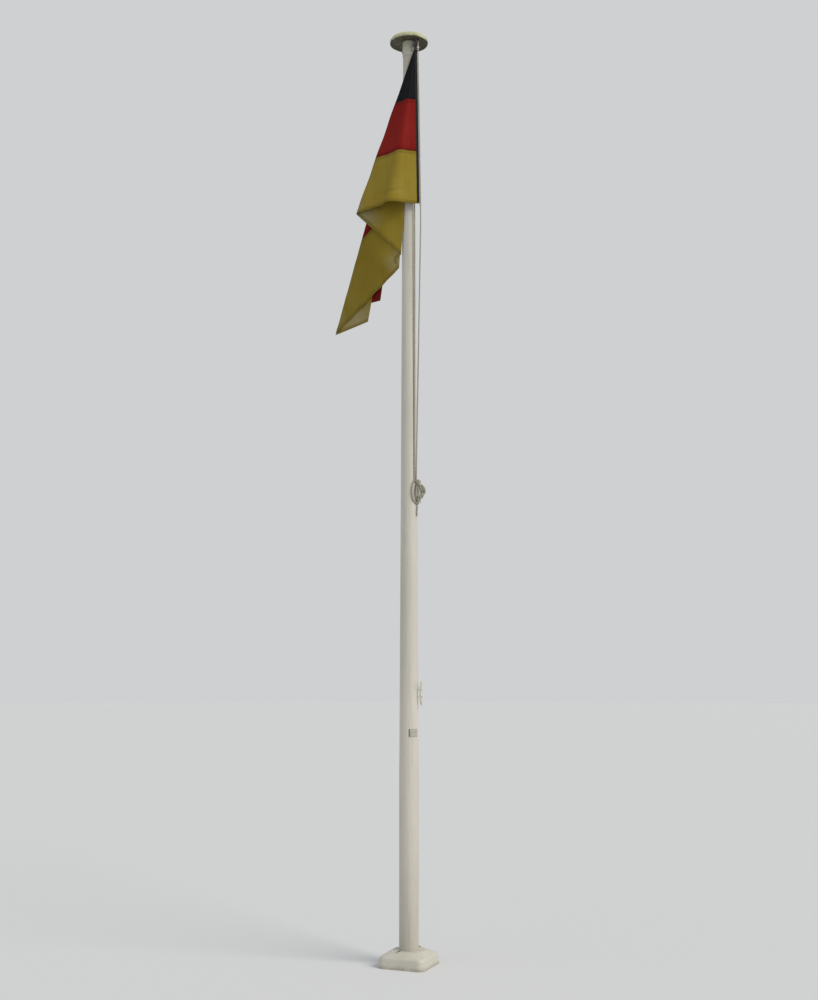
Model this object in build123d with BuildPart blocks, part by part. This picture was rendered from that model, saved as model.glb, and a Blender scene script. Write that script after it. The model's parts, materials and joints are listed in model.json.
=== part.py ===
from build123d import *
import os
from math import acos, atan2, cos, degrees, hypot, radians, sin, tan

# A tapered glass-fibre flagpole with its ground plate, cover, halyard, cleats, cap and flag.
# Millimetres, Z up. The origin is the middle of the ground plate's underside.

# Ground plate
plate_side = 236.0
plate_thick = 10.0
plate_corner = 14.0
anchor_spacing = 180.0
anchor_hole = 18.0

# Pole: straight at the butt, then one long taper
butt_diameter = 114.0
taper_start = 1100.0
top_diameter = 74.0
pole_wall = 4.5
seat_gap = 0.3

# Spigot tube on the plate and the bolt across it
spigot_rise = 290.0
spigot_wall = 5.0
bolt_diameter = 12.0
bolt_level = 46.0
bolt_head_width = 19.0
bolt_head_thick = 8.0
bolt_gap = 0.3

# Two-piece cover round the foot of the pole
cover_side = 284.0
cover_corner = 34.0
cover_rim = 60.0
cover_rise = 88.0
cover_draft = 5.0
cover_top_side = 186.0
cover_wall = 3.5
cover_edge = 18.0
cover_hole_gap = 1.5
cover_seam = 0.6
boss_x = 27.0
boss_y = 86.0
boss_diameter = 31.0
boss_recess = 22.0
boss_floor = 6.0
boss_stand = 3.0
cover_screw = 8.0
cover_screw_head = 14.0

# Cap: a shallow dome over a flat plate
cap_level = 5570.0
cap_diameter = 238.0
cap_rim = 7.0
cap_dome_rise = 50.0
cap_shoulder = 26.0
cap_wall = 3.5
cap_ledge = 4.0
cap_recess = 4.0
cap_plate_thick = 5.0
cap_bolt_diameter = 10.0
cap_bolt_grip = 12.0

# Sleeve that carries the cap on the pole
sleeve_height = 92.0
sleeve_wall = 3.0
sleeve_web = 8.0
sleeve_screw = 6.0
sleeve_screw_drop = 66.0

# Pulley below the cap
truck_azimuth = -30.0
sheave_offset = 72.0
sheave_drop = 34.0
sheave_pitch = 36.0
sheave_width = 12.0
sheave_side_gap = 1.0
groove_gap = 0.3
pin_diameter = 8.0
pin_running_gap = 0.06
ear_thick = 3.0
ear_radius = 9.0
strap_length = 46.0

# Halyard
rope_diameter = 8.0
fall_lean_out = 0.7
fall_lean_side = 0.46
fall_bend_drop = 112.0
fall_bend = 3000.0
fall_top_bend = 800.0
fall_straight = 20.0
fall_end_azimuth = -18.0
fall_end_gap = 2.7

# Cleats
lower_cleat_level = 1542.0
upper_cleat_level = 2735.0
cleat_length = 138.0
cleat_gap = 12.0
horn_thick = 14.0
horn_flare = 4.5
cleat_width = 16.0
horn_tip_width = 10.0
leg_spacing = 38.0
leg_width = 14.0
cleat_screw = 5.8
cleat_screw_head = 10.0
cleat_screw_grip = 6.0

# Rope wound on the upper cleat, and its free end
turn_gap = 0.5
turn_joint = 0.1
turn_bend = 16.0
turn_side = 22.0
wide_turn_side = 42.0
tail_drop = 72.0
tail_bend = 50.0

# Flag of three sewn stripes and a heading
flag_hoist = 1000.0
flag_fly = 1550.0
flag_below_sheave = 11.0
cloth_thick = 2.0
stripe_gap = 0.4
heading_width = 16.0
heading_thick = 4.0
heading_gap = 1.0
drape_azimuth = 202.0
# Each fold line of the hanging cloth, as its lean along the drape and its lean behind it, in degrees
fold_leans = [
    (8.0, -2.5), (19.5, 7.0), (3.6, 2.0), (5.5, 3.1), (3.9, 2.3), (15.7, 8.5),
    (9.6, 5.6), (14.3, 8.45), (7.6, 4.55), (14.5, 8.8), (9.4, 5.85),
]

# Blank plate low on the pole
label_level = 1314.0
label_azimuth = -40.0
label_width = 56.0
label_height = 44.0
label_thick = 0.8

# Rings through the heading and round the halyard, and the stopper beads that hold them
ring_diameter = 25.0
ring_wire = 4.0
ring_tilt = 25.0
eyelet_margin = 6.4
eyelet_radius = 4.0
stopper_height = 7.0
stopper_wall = 3.2

butt_radius = butt_diameter / 2
top_radius = top_diameter / 2
rope_radius = rope_diameter / 2
cap_plate_level = cap_level + cap_recess
pole_end = cap_plate_level - sleeve_web - seat_gap
sheave_radial = Vector(cos(radians(truck_azimuth)), sin(radians(truck_azimuth)), 0)
axle_direction = Vector(sin(radians(truck_azimuth)), -cos(radians(truck_azimuth)), 0)
sheave_centre = sheave_radial * sheave_offset + Vector(0, 0, cap_plate_level - sheave_drop)


def pole_radius(level):
    share = max(0.0, (level - taper_start) / (pole_end - taper_start))
    return butt_radius + (top_radius - butt_radius) * share


def save(part, name):
    part.label = name
    export_step(part, f"parts/{name}.step")


os.makedirs("parts", exist_ok=True)

# Ground plate
with BuildPart() as base_plate:
    with BuildSketch():
        RectangleRounded(plate_side, plate_side, plate_corner)
        with GridLocations(anchor_spacing, anchor_spacing, 2, 2):
            Circle(anchor_hole / 2, mode=Mode.SUBTRACT)
        with Locations((-boss_x, -boss_y), (boss_x, boss_y)):
            Circle(cover_screw / 2 + bolt_gap, mode=Mode.SUBTRACT)
    extrude(amount=plate_thick)
    chamfer(base_plate.faces().sort_by(Axis.Z)[-1].outer_wire().edges(), 1.0)
save(base_plate.part, "base_plate")

# Spigot tube that the pole stands over
spigot_radius = butt_radius - pole_wall - seat_gap
with BuildPart() as base_spigot:
    with BuildSketch(Plane.XY.offset(plate_thick)):
        Circle(spigot_radius)
        Circle(spigot_radius - spigot_wall, mode=Mode.SUBTRACT)
    extrude(amount=spigot_rise)
    chamfer(base_spigot.edges().group_by(Axis.Z)[-1].sort_by(SortBy.LENGTH)[-1], 3.0)
    with BuildSketch(Plane.YZ):
        with Locations((0, bolt_level)):
            Circle(bolt_diameter / 2 + bolt_gap)
    extrude(amount=butt_radius, both=True, mode=Mode.SUBTRACT)
save(base_spigot.part, "base_spigot")

# Bolt across the pole and the spigot, with its head and nut
with BuildPart() as spigot_bolt:
    with BuildSketch(Plane.YZ):
        with Locations((0, bolt_level)):
            Circle(bolt_diameter / 2)
    extrude(amount=butt_radius + seat_gap + bolt_head_thick + 4, both=True)
    for side in (1, -1):
        with BuildSketch(Plane.YZ.offset(side * (butt_radius + seat_gap))):
            with Locations((0, bolt_level)):
                RegularPolygon(bolt_head_width / 2, 6, major_radius=False)
        extrude(amount=side * bolt_head_thick)
save(spigot_bolt.part, "spigot_bolt")


# The cover's outer form: drafted square walls under a roof that runs up to the pole
def build_cover_form(inset):
    side = cover_side - 2 * inset
    rim = cover_rim - inset
    rim_side = side - 2 * rim * tan(radians(cover_draft))
    with BuildPart() as form:
        with BuildSketch():
            RectangleRounded(side, side, cover_corner)
        with BuildSketch(Plane.XY.offset(rim)):
            RectangleRounded(rim_side, rim_side, cover_corner)
        loft()
        with BuildSketch(Plane.XY.offset(rim)):
            RectangleRounded(rim_side, rim_side, cover_corner)
        with BuildSketch(Plane.XY.offset(cover_rise - inset)):
            RectangleRounded(cover_top_side, cover_top_side, cover_top_side * 0.42)
        loft()
    return form.part


roof_fall = (cover_rise - cover_rim) / (cover_side / 2 - cover_top_side / 2)
boss_top = cover_rise - max(0.0, boss_y - cover_top_side / 2) * roof_fall + boss_stand
with BuildPart() as cover_left:
    add(build_cover_form(0))
    rim_edges = [
        edge for edge in cover_left.edges()
        if abs(edge.center().Z - cover_rim) < 1.0 and edge.bounding_box().size.Z < 1.0
    ]
    fillet(rim_edges, cover_edge)
    add(build_cover_form(cover_wall), mode=Mode.SUBTRACT)
    with BuildSketch(Plane.XY.offset(plate_thick + seat_gap)):
        with Locations((-boss_x, -boss_y)):
            Circle(boss_diameter / 2)
    extrude(amount=boss_top - plate_thick - seat_gap)
    with BuildSketch(Plane.XY.offset(plate_thick + seat_gap + boss_floor)):
        with Locations((-boss_x, -boss_y)):
            Circle(boss_recess / 2)
    extrude(amount=cover_rise, mode=Mode.SUBTRACT)
    with BuildSketch():
        Circle(butt_radius + cover_hole_gap)
        with Locations((-boss_x, -boss_y)):
            Circle(cover_screw / 2 + bolt_gap)
    extrude(amount=cover_rise + boss_stand, mode=Mode.SUBTRACT)
    split(bisect_by=Plane.YZ.offset(-cover_seam / 2), keep=Keep.BOTTOM)
save(cover_left.part, "cover_left")

with BuildPart() as cover_right:
    add(cover_left.part.rotate(Axis.Z, 180))
save(cover_right.part, "cover_right")

# Screws down the cover's bosses into the ground plate
with BuildPart() as cover_screws:
    for place in ((-boss_x, -boss_y), (boss_x, boss_y)):
        with BuildSketch(Plane.XY):
            with Locations(place):
                Circle(cover_screw / 2)
        extrude(amount=plate_thick + seat_gap + boss_floor + 2)
        with BuildSketch(Plane.XY.offset(plate_thick + seat_gap + boss_floor)):
            with Locations(place):
                RegularPolygon(cover_screw_head / 2, 6, major_radius=False)
        extrude(amount=5.0)
save(cover_screws.part, "cover_screws")

# Pole
cleat_legs = [
    level + side * leg_spacing / 2
    for level in (lower_cleat_level, upper_cleat_level) for side in (-1, 1)
]
sleeve_screw_level = cap_plate_level - sleeve_screw_drop
with BuildPart() as pole:
    with BuildSketch(Plane.YZ):
        with BuildLine():
            Polyline(
                (butt_radius - pole_wall, plate_thick), (butt_radius, plate_thick),
                (butt_radius, taper_start), (top_radius, pole_end),
                (top_radius - pole_wall, pole_end), (butt_radius - pole_wall, taper_start),
                close=True,
            )
        make_face()
    revolve(axis=Axis.Z)
    with BuildSketch(Plane.YZ):
        with Locations((0, bolt_level)):
            Circle(bolt_diameter / 2 + bolt_gap)
    extrude(amount=butt_radius + 1, both=True, mode=Mode.SUBTRACT)
    with BuildSketch(Plane.YZ):
        for level in cleat_legs:
            with Locations((0, level)):
                Circle(cleat_screw / 2 + bolt_gap)
    extrude(amount=butt_radius + 1, mode=Mode.SUBTRACT)
    for turn in (90, 210, 330):
        with BuildSketch(Plane.YZ.rotated((0, 0, turn))):
            with Locations((0, sleeve_screw_level)):
                Circle(sleeve_screw / 2 + bolt_gap)
        extrude(amount=butt_radius, mode=Mode.SUBTRACT)
save(pole.part, "pole")

# Blank plate that follows the pole's face
label_radius = pole_radius(label_level) + seat_gap
with BuildPart() as label_plate:
    with BuildSketch(Plane.XY.offset(label_level - label_height / 2)):
        Circle(label_radius + label_thick)
        Circle(label_radius, mode=Mode.SUBTRACT)
        with Locations(Location((0, 0, 0), (0, 0, label_azimuth))):
            with Locations((label_radius, 0)):
                Rectangle(label_radius, label_width, mode=Mode.INTERSECT)
    extrude(amount=label_height)
save(label_plate.part, "label_plate")


# A cleat: a flared horn on two legs that are cut to the pole's curve, and its screws
def build_cleat(level):
    face = pole_radius(level)
    half = cleat_length / 2
    tip = horn_thick * 0.42
    inner = face + cleat_gap
    outer = inner + horn_thick
    tip_middle = (inner + outer) / 2 + horn_flare
    with BuildPart() as cleat:
        with BuildSketch(Plane.XZ):
            with BuildLine():
                inside = ThreePointArc(
                    (tip_middle - tip, level - half + tip), (inner, level), (tip_middle - tip, level + half - tip)
                )
                outside = ThreePointArc(
                    (tip_middle + tip, level - half + tip), (outer, level), (tip_middle + tip, level + half - tip)
                )
                ThreePointArc(inside @ 0, (tip_middle, level - half), outside @ 0)
                ThreePointArc(inside @ 1, (tip_middle, level + half), outside @ 1)
            make_face()
            for side in (-1, 1):
                with Locations((face + (cleat_gap + horn_thick) / 2 - 2, level + side * leg_spacing / 2)):
                    Rectangle(cleat_gap + horn_thick - 2, leg_width)
        extrude(amount=cleat_width / 2, both=True)
        with BuildSketch(Plane.YZ):
            with BuildLine():
                Polyline(
                    (-cleat_width / 2, level - leg_spacing / 2), (-horn_tip_width / 2, level - half),
                    (horn_tip_width / 2, level - half), (cleat_width / 2, level - leg_spacing / 2),
                    (cleat_width / 2, level + leg_spacing / 2), (horn_tip_width / 2, level + half),
                    (-horn_tip_width / 2, level + half), (-cleat_width / 2, level + leg_spacing / 2),
                    close=True,
                )
            make_face()
        extrude(amount=outer + horn_flare + horn_thick, mode=Mode.INTERSECT)
        with BuildSketch(Plane.XY.offset(level - half)):
            Circle(face + seat_gap)
        extrude(amount=cleat_length, mode=Mode.SUBTRACT)
        for side in (-1, 1):
            with BuildSketch(Plane.YZ):
                with Locations((0, level + side * leg_spacing / 2)):
                    Circle(cleat_screw / 2 + bolt_gap)
            extrude(amount=outer + horn_flare, mode=Mode.SUBTRACT)
            with BuildSketch(Plane.YZ.offset(outer - 3.0)):
                with Locations((0, level + side * leg_spacing / 2)):
                    Circle(cleat_screw_head / 2 + bolt_gap)
            extrude(amount=horn_flare, mode=Mode.SUBTRACT)
    with BuildPart() as screws:
        for side in (-1, 1):
            with BuildSketch(Plane.YZ.offset(face - pole_wall - cleat_screw_grip)):
                with Locations((0, level + side * leg_spacing / 2)):
                    Circle(cleat_screw / 2)
            extrude(amount=outer - 3.0 - face + pole_wall + cleat_screw_grip)
            with BuildSketch(Plane.YZ.offset(outer - 3.0)):
                with Locations((0, level + side * leg_spacing / 2)):
                    Circle(cleat_screw_head / 2)
            extrude(amount=3.0)
    return cleat.part, screws.part


for cleat_name, cleat_level in (("lower_cleat", lower_cleat_level), ("upper_cleat", upper_cleat_level)):
    cleat_part, screws_part = build_cleat(cleat_level)
    save(cleat_part, cleat_name)
    save(screws_part, cleat_name + "_screws")

# Rope wound on the upper cleat: round turns behind the horns, figure eights over them, and one loose turn
cleat_face = pole_radius(upper_cleat_level)
turn_pitch = rope_diameter + turn_gap
under_depth = cleat_face + rope_radius + 0.7
over_depth = cleat_face + cleat_gap + horn_thick + rope_radius + 2 * turn_gap
turn_foot = leg_spacing / 2 + leg_width / 2 + rope_radius + 2.0
turn_step = turn_pitch + 3.0
round_side = rope_radius + cleat_width / 2 + 2.0
turns = [[
    (under_depth, round_side, turn_foot), (under_depth, -round_side, turn_foot),
    (under_depth, -round_side, -turn_foot), (under_depth, round_side, -turn_foot),
]]
for i in range(2):
    rise = turn_foot + (i + 1) * turn_step
    front, back = over_depth + 2 * i * turn_pitch, over_depth + (2 * i + 1) * turn_pitch
    cross_side, cross_rise = rope_diameter * 1.75, turn_foot - rope_diameter
    turns.append([
        (under_depth, -turn_side, rise), (under_depth, turn_side, rise),
        (front, cross_side, cross_rise), (front, -cross_side, -cross_rise),
        (under_depth, -turn_side, -rise), (under_depth, turn_side, -rise),
        (back, cross_side, -cross_rise), (back, -cross_side, cross_rise),
    ])
loose_rise = turn_foot + 3 * turn_step + 3.0
wide_side = wide_turn_side * 0.4
wide_depth = cleat_face * 0.75
turns.append([
    (under_depth + 2.0, -wide_side, loose_rise), (under_depth + 2.0, wide_side, loose_rise),
    (wide_depth, wide_turn_side, loose_rise * 0.6), (wide_depth, wide_turn_side, loose_rise * -0.6),
    (under_depth + 2.0, wide_side, -loose_rise), (under_depth + 2.0, -wide_side, -loose_rise),
    (wide_depth, -wide_turn_side, loose_rise * -0.6), (wide_depth, -wide_turn_side, loose_rise * 0.6),
])
with BuildPart() as cleat_turns:
    for turn in turns:
        corners = [Vector(x, y, z + upper_cleat_level) for x, y, z in turn]
        start = (corners[0] + corners[-1]) / 2
        end = start + (corners[-1] - start).normalized() * turn_joint
        bend = min(turn_bend, 0.65 * abs(turn[0][1]))
        with BuildLine() as turn_path:
            FilletPolyline(start, *corners, end, radius=bend)
        with BuildSketch(Plane(origin=start, z_dir=corners[0] - start)):
            Circle(rope_radius)
        sweep(path=turn_path.wires()[0])
save(cleat_turns.part, "cleat_turns")

# Free end of the halyard, hanging below the turns
tail_top = upper_cleat_level - loose_rise - rope_radius - 2 * turn_gap
tail_points = [
    (under_depth + 2.0, -4.0, tail_top),
    (under_depth + 2.0, -6.0, tail_top - tail_drop * 0.35),
    (under_depth, -10.0, tail_top - tail_drop * 0.7),
    (under_depth, -8.5, tail_top - tail_drop),
]
with BuildPart() as halyard_tail:
    with BuildLine() as tail_path:
        FilletPolyline(*tail_points, radius=tail_bend)
    with BuildSketch(tail_path.line ^ 0):
        Circle(rope_radius)
    sweep(path=tail_path.wires()[0])
save(halyard_tail.part, "halyard_tail")

# Sleeve on the pole's end
sleeve_foot = cap_plate_level - sleeve_height
sleeve_radius = pole_radius(sleeve_foot) + seat_gap + sleeve_wall
with BuildPart() as truck_sleeve:
    with BuildSketch(Plane.YZ):
        with BuildLine():
            Polyline(
                (0, pole_end + seat_gap), (top_radius + seat_gap, pole_end + seat_gap),
                (pole_radius(sleeve_foot) + seat_gap, sleeve_foot), (sleeve_radius, sleeve_foot),
                (sleeve_radius, cap_plate_level), (0, cap_plate_level), close=True,
            )
        make_face()
    revolve(axis=Axis.Z)
    chamfer(truck_sleeve.edges().group_by(Axis.Z)[0].sort_by(SortBy.LENGTH)[-1], 1.5)
    with BuildSketch(Plane.XY.offset(pole_end)):
        Circle(cap_bolt_diameter / 2 + bolt_gap)
    extrude(amount=sleeve_web + 1, mode=Mode.SUBTRACT)
    for turn in (90, 210, 330):
        with BuildSketch(Plane.YZ.rotated((0, 0, turn))):
            with Locations((0, sleeve_screw_level)):
                Circle(sleeve_screw / 2 + bolt_gap)
        extrude(amount=sleeve_radius + 1, mode=Mode.SUBTRACT)
save(truck_sleeve.part, "truck_sleeve")

with BuildPart() as truck_screws:
    for turn in (90, 210, 330):
        with BuildSketch(Plane.YZ.rotated((0, 0, turn)).offset(top_radius - pole_wall - 3)):
            with Locations((0, sleeve_screw_level)):
                Circle(sleeve_screw / 2)
        extrude(amount=sleeve_radius + seat_gap - top_radius + pole_wall + 3)
        with BuildSketch(Plane.YZ.rotated((0, 0, turn)).offset(sleeve_radius + seat_gap)):
            with Locations((0, sleeve_screw_level)):
                Circle(sleeve_screw * 0.9)
        extrude(amount=3.5, taper=12)
save(truck_screws.part, "truck_screws")

# Cap plate, dome and the bolt that holds them down on the sleeve
cap_radius = cap_diameter / 2


# Turn of the small arc and radius of the large one for a quarter oval of two tangent arcs
def oval(width, rise, small):
    large = ((width - small) ** 2 + rise**2 - small**2) / (2 * (rise - small))
    return degrees(atan2(large - rise, width - small)), large


strap_bolts = [sheave_radial * (sheave_offset + side * strap_length * 0.36) for side in (-1, 1)]
with BuildPart() as cap_plate:
    with BuildSketch(Plane.XY.offset(cap_plate_level)):
        Circle(cap_radius - cap_wall - seat_gap)
        Circle(cap_bolt_diameter / 2 + bolt_gap, mode=Mode.SUBTRACT)
        for place in strap_bolts:
            with Locations(place):
                Circle(2.5 + bolt_gap, mode=Mode.SUBTRACT)
    extrude(amount=cap_plate_thick)
save(cap_plate.part, "cap_plate")

with BuildPart() as cap_dome:
    with BuildSketch(Plane.YZ):
        shoulder = cap_level + cap_rim
        ledge = cap_plate_level + cap_plate_thick
        with BuildLine():
            foot = Line((cap_radius - cap_wall, cap_level), (cap_radius, cap_level))
            rim = Line(foot @ 1, (cap_radius, shoulder))
            turn, crown_radius = oval(cap_radius, cap_dome_rise, cap_shoulder)
            edge = JernArc(rim @ 1, (0, 1), cap_shoulder, turn)
            crown = JernArc(edge @ 1, edge % 1, crown_radius, 90 - turn)
            hollow_radius = cap_radius - cap_wall - cap_ledge
            turn, crown_radius = oval(hollow_radius, cap_dome_rise - cap_wall, cap_shoulder)
            step = Line((cap_radius - cap_wall, ledge), (hollow_radius, ledge))
            inner_edge = JernArc(step @ 1, (0, 1), cap_shoulder, turn)
            hollow = JernArc(inner_edge @ 1, inner_edge % 1, crown_radius, 90 - turn)
            Line(crown @ 1, hollow @ 1)
            Line(step @ 0, foot @ 0)
        make_face()
    revolve(axis=Axis.Z)
save(cap_dome.part, "cap_dome")

with BuildPart() as cap_bolt:
    with BuildSketch(Plane.XY.offset(pole_end - cap_bolt_grip)):
        Circle(cap_bolt_diameter / 2)
    extrude(amount=cap_plate_level + cap_plate_thick - pole_end + cap_bolt_grip)
    with BuildSketch(Plane.XY.offset(cap_plate_level + cap_plate_thick)):
        RegularPolygon(cap_bolt_diameter * 0.8, 6, major_radius=False)
    extrude(amount=6.4)
    with BuildSketch(Plane.XY.offset(pole_end + seat_gap)):
        RegularPolygon(cap_bolt_diameter * 0.8, 6, major_radius=False)
    extrude(amount=-8.0)
save(cap_bolt.part, "cap_bolt")

# Pulley bracket: a strap under the cap plate with two ears
ear_inside = sheave_width / 2 + sheave_side_gap
pulley_plane = Plane(origin=sheave_centre, x_dir=sheave_radial, z_dir=axle_direction)
strap_rise = sheave_drop - ear_thick
with BuildPart() as pulley_bracket:
    strap_plane = Plane(origin=sheave_centre + Vector(0, 0, strap_rise), x_dir=sheave_radial, z_dir=(0, 0, 1))
    with BuildSketch(strap_plane):
        RectangleRounded(strap_length, 2 * (ear_inside + ear_thick), 3.0)
        for side in (-1, 1):
            with Locations((side * strap_length * 0.36, 0)):
                Circle(2.5 + bolt_gap, mode=Mode.SUBTRACT)
    extrude(amount=ear_thick)
    for side in (-1, 1):
        with BuildSketch(pulley_plane.offset(side * ear_inside)):
            with BuildLine():
                cheek = strap_length / 2 - 6.0
                round_end = ThreePointArc((-ear_radius, 0), (0, -ear_radius), (ear_radius, 0))
                Polyline(round_end @ 1, (cheek, strap_rise), (-cheek, strap_rise), round_end @ 0)
            make_face()
            Circle(pin_diameter / 2 + 0.2, mode=Mode.SUBTRACT)
        extrude(amount=side * ear_thick)
save(pulley_bracket.part, "pulley_bracket")

with BuildPart() as bracket_screws:
    for place in strap_bolts:
        screw_foot = cap_plate_level - ear_thick
        with BuildSketch(Plane.XY.offset(screw_foot)):
            with Locations(place):
                Circle(2.5)
        extrude(amount=ear_thick + cap_plate_thick + 6)
        with BuildSketch(Plane.XY.offset(screw_foot)):
            with Locations(place):
                Circle(4.5)
        extrude(amount=-2.5)
        with BuildSketch(Plane.XY.offset(cap_plate_level + cap_plate_thick)):
            with Locations(place):
                RegularPolygon(4.0, 6, major_radius=False)
        extrude(amount=4.0)
save(bracket_screws.part, "bracket_screws")

# Grooved sheave
pitch_radius = sheave_pitch / 2
sheave_radius = pitch_radius + rope_radius
groove_radius = rope_radius + groove_gap
sheave_axis = Axis(sheave_centre, axle_direction)
with BuildPart() as sheave:
    with BuildSketch(Plane(origin=sheave_centre, x_dir=(0, 0, 1), z_dir=sheave_radial * -1)):
        half_width = sheave_width / 2
        with BuildLine():
            groove = ThreePointArc(
                (pitch_radius, -groove_radius), (pitch_radius - groove_radius, 0), (pitch_radius, groove_radius)
            )
            Polyline(
                groove @ 1, (sheave_radius, half_width - 0.8), (sheave_radius, half_width),
                (pin_diameter / 2 + pin_running_gap, half_width),
                (pin_diameter / 2 + pin_running_gap, -half_width), (sheave_radius, -half_width),
                (sheave_radius, 0.8 - half_width), groove @ 0,
            )
        make_face()
    revolve(axis=sheave_axis)
save(sheave.part, "sheave")

with BuildPart() as sheave_pin:
    pin_reach = ear_inside + ear_thick + 2.5
    with BuildSketch(pulley_plane.offset(-pin_reach)):
        Circle(pin_diameter / 2)
    extrude(amount=2 * pin_reach)
    for side in (-1, 1):
        with BuildSketch(pulley_plane.offset(side * (ear_inside + ear_thick + 0.3))):
            Circle(pin_diameter / 2 + 2.2)
        extrude(amount=side * 2.2)
save(sheave_pin.part, "sheave_pin")

# Halyard: up the inner fall, over the sheave and down past the flag to the cleat
inner_top = sheave_centre - sheave_radial * pitch_radius
outer_top = sheave_centre + sheave_radial * pitch_radius
crown_point = sheave_centre + Vector(0, 0, pitch_radius)
fall_foot = upper_cleat_level + loose_rise + rope_diameter + turn_gap
inner_foot = Vector(inner_top.X, inner_top.Y, fall_foot)
fall_top = outer_top - Vector(0, 0, fall_straight)
hoist = Vector(tan(radians(fall_lean_out)), tan(radians(fall_lean_side)), -1).normalized()
flag_top = sheave_centre.Z - sheave_radius - flag_below_sheave
bend_level = flag_top - flag_hoist - fall_bend_drop
fall_low = fall_top + hoist * ((bend_level - fall_top.Z) / hoist.Z)
end_radius = cleat_face + rope_radius + fall_end_gap
fall_end = Vector(
    end_radius * cos(radians(fall_end_azimuth)), end_radius * sin(radians(fall_end_azimuth)),
    fall_foot,
)
with BuildPart() as halyard:
    with BuildLine() as halyard_path:
        Line(inner_foot, inner_top)
        ThreePointArc(inner_top, crown_point, outer_top)
        FilletPolyline(outer_top, fall_top, fall_low, fall_end, radius=(fall_top_bend, fall_bend))
    with BuildSketch(Plane(origin=inner_foot, z_dir=(0, 0, 1))):
        Circle(rope_radius)
    sweep(path=halyard_path.wires()[0])
save(halyard.part, "halyard")

# Flag: the hoist edge follows the outer fall, and the cloth fans out from its top corner
along = Vector(cos(radians(drape_azimuth)), sin(radians(drape_azimuth)), 0)
behind = Vector(along.Y, -along.X, 0)
outboard = (along * -1 - hoist * (along * -1).dot(hoist)).normalized()
fall_at_flag = fall_top + hoist * ((flag_top - fall_top.Z) / hoist.Z)
heading_edge = fall_at_flag - outboard * (rope_radius + heading_gap)
apex = heading_edge - outboard * heading_width


def lean_direction(lean_along, lean_behind):
    return (along * tan(radians(lean_along)) + behind * tan(radians(lean_behind)) - Vector(0, 0, 1)).normalized()


folds = [hoist] + [lean_direction(*lean) for lean in fold_leans]
fold_angles = [0.0]
for start, end in zip(folds, folds[1:]):
    fold_angles.append(fold_angles[-1] + acos(start.dot(end)))
flag_reach = hypot(flag_hoist, flag_fly)


def build_stripe(top, foot):
    overlap = cloth_thick / 2
    with BuildPart() as stripe:
        for start, end, angle, next_angle in zip(folds, folds[1:], fold_angles, fold_angles[1:]):
            if angle > atan2(flag_fly, top):
                continue
            width = next_angle - angle
            normal = start.cross(end).normalized()
            with BuildSketch(Plane(origin=apex, x_dir=start, z_dir=normal)):
                corners = [
                    (v * cos(angle) + u * sin(angle), u * cos(angle) - v * sin(angle))
                    for u, v in ((0, top), (flag_fly, top), (flag_fly, foot), (0, foot))
                ]
                Polygon(*corners, align=None)
                Polygon(
                    (0, -overlap), (flag_reach, -overlap),
                    (flag_reach * cos(width) - overlap * sin(width), flag_reach * sin(width) + overlap * cos(width)),
                    (-overlap * sin(width), overlap * cos(width)),
                    align=None, mode=Mode.INTERSECT,
                )
            extrude(amount=cloth_thick / 2, both=True)
        with BuildSketch(Plane(origin=apex - outboard * stripe_gap, x_dir=hoist, z_dir=outboard)):
            Rectangle(2 * flag_reach, flag_hoist)
        extrude(amount=3 * heading_width, mode=Mode.SUBTRACT)
    return stripe.part


stripe_height = flag_hoist / 3
stripes_above = []
for row, stripe_name in enumerate(("flag_black", "flag_red", "flag_gold")):
    stripe_top = row * stripe_height + (stripe_gap / 2 if row else 0)
    stripe_foot = (row + 1) * stripe_height - (stripe_gap / 2 if row < 2 else 0)
    with BuildPart() as stripe:
        add(build_stripe(stripe_top, stripe_foot))
        for stripe_above in stripes_above:
            add(stripe_above, mode=Mode.SUBTRACT)
    save(stripe.part, stripe_name)
    stripes_above.append(stripe.part)

# Heading band down the hoist with an eyelet near each end
front = outboard.cross(hoist).normalized()
ring_radius = (ring_diameter - ring_wire) / 2
ring_centre_back = ring_radius - ring_wire / 2 - rope_radius - seat_gap
ring_axis = (hoist * cos(radians(ring_tilt)) + front * sin(radians(ring_tilt))).normalized()
eyelets = [eyelet_margin, flag_hoist - eyelet_margin]
with BuildPart() as flag_heading:
    with BuildSketch(Plane(origin=apex, x_dir=outboard, z_dir=hoist)):
        with Locations((heading_width / 2, 0)):
            RectangleRounded(heading_width, heading_thick, heading_thick * 0.45)
    extrude(amount=flag_hoist)
    for distance in eyelets:
        eyelet = fall_at_flag + hoist * distance - outboard * (ring_centre_back + ring_radius)
        with BuildSketch(Plane(origin=eyelet, x_dir=outboard, z_dir=front)):
            Circle(eyelet_radius)
        extrude(amount=heading_thick, both=True, mode=Mode.SUBTRACT)
save(flag_heading.part, "flag_heading")


# Ring through an eyelet and round the halyard
def build_ring(distance):
    centre = fall_at_flag + hoist * distance - outboard * ring_centre_back
    with BuildPart() as ring:
        with BuildSketch(Plane(origin=centre, x_dir=outboard, z_dir=ring_axis.cross(outboard))):
            with Locations((ring_radius, 0)):
                Circle(ring_wire / 2)
        revolve(axis=Axis(centre, ring_axis))
    return ring.part


# Stopper bead on the halyard next to a ring
def build_stopper(distance):
    with BuildPart() as stopper:
        with BuildSketch(Plane(origin=fall_at_flag + hoist * distance, x_dir=outboard, z_dir=front)):
            with Locations((rope_radius + seat_gap + stopper_wall / 2, 0)):
                RectangleRounded(stopper_wall, stopper_height, stopper_wall * 0.3)
        revolve(axis=Axis(fall_at_flag, hoist))
    return stopper.part


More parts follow.
